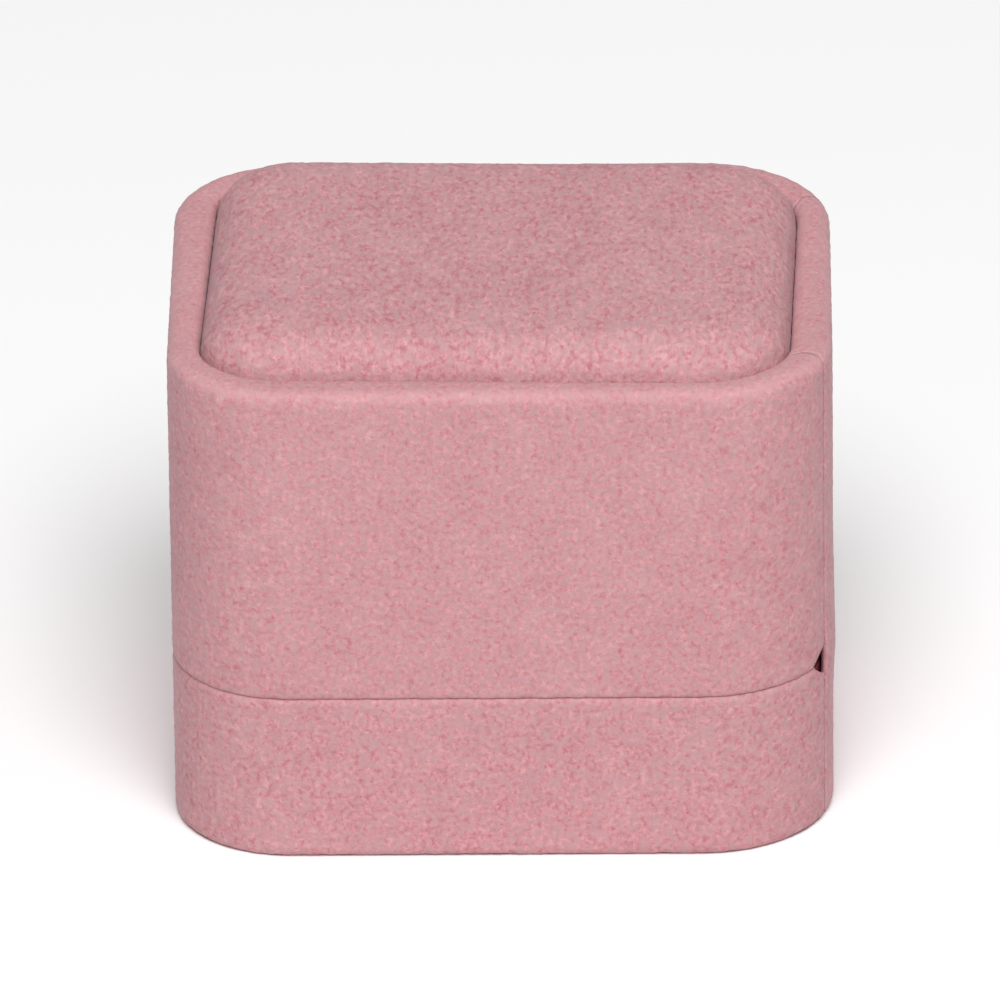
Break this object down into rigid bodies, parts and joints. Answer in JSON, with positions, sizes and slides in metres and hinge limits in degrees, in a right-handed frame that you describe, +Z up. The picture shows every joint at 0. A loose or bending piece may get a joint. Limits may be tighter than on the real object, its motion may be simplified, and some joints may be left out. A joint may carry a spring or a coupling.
{
  "type": "ring box",
  "caption": "Hinged velvet-covered ring box with rounded corners, a padded panel inset in its lid and foam bars that hold a ring.",
  "frame": {"origin": "middle of the closed box on the surface that it stands on", "axes": "+Z up, +Y towards the hinge, -Y towards the opening front, X across the width"},
  "size_m": [0.05, 0.06, 0.05],
  "materials": {
    "velvet": "short-nap velvet",
    "lining_satin": "satin weave",
    "foam": "soft foam",
    "card": "grey board",
    "foot_flock": "flocked board",
    "shell_plastic": "moulded",
    "hinge_steel": "bright rolled"
  },
  "bodies": {
    "base": {"base_shell": "shell_plastic", "base_side_velvet": "velvet", "base_spine_velvet": "velvet", "foot_pad": "foot_flock", "spine_fold": "velvet", "insert_tray": "card", "deck_board": "card", "deck_velvet": "velvet", "ring_bar_foam_front": "foam", "ring_bar_velvet_front": "velvet", "ring_bar_foam_rear": "foam", "ring_bar_velvet_rear": "velvet", "hinge_leaf_base": "hinge_steel", "hinge_pin": "hinge_steel", "snap_spring": "hinge_steel", "rivet_base_left": "hinge_steel", "rivet_base_right": "hinge_steel"},
    "lid": {"lid_shell": "shell_plastic", "lid_side_velvet": "velvet", "lid_spine_velvet": "velvet", "top_panel_board": "card", "top_panel_foam": "foam", "top_panel_velvet": "velvet", "lid_side_lining": "lining_satin", "lid_ceiling_board": "card", "lid_ceiling_foam": "foam", "lid_ceiling_satin": "lining_satin", "hinge_leaf_lid": "hinge_steel", "rivet_lid_left": "hinge_steel", "rivet_lid_right": "hinge_steel"}
  },
  "joints": [
    {"name": "lid_hinge", "type": "hinge", "parent": "base", "child": "lid", "pos_m": [0, 0.0281, 0.0161], "axis": [-1, 0, 0], "range_deg": [0, 95], "deforming": ["spine_fold", "snap_spring"]}
  ]
}
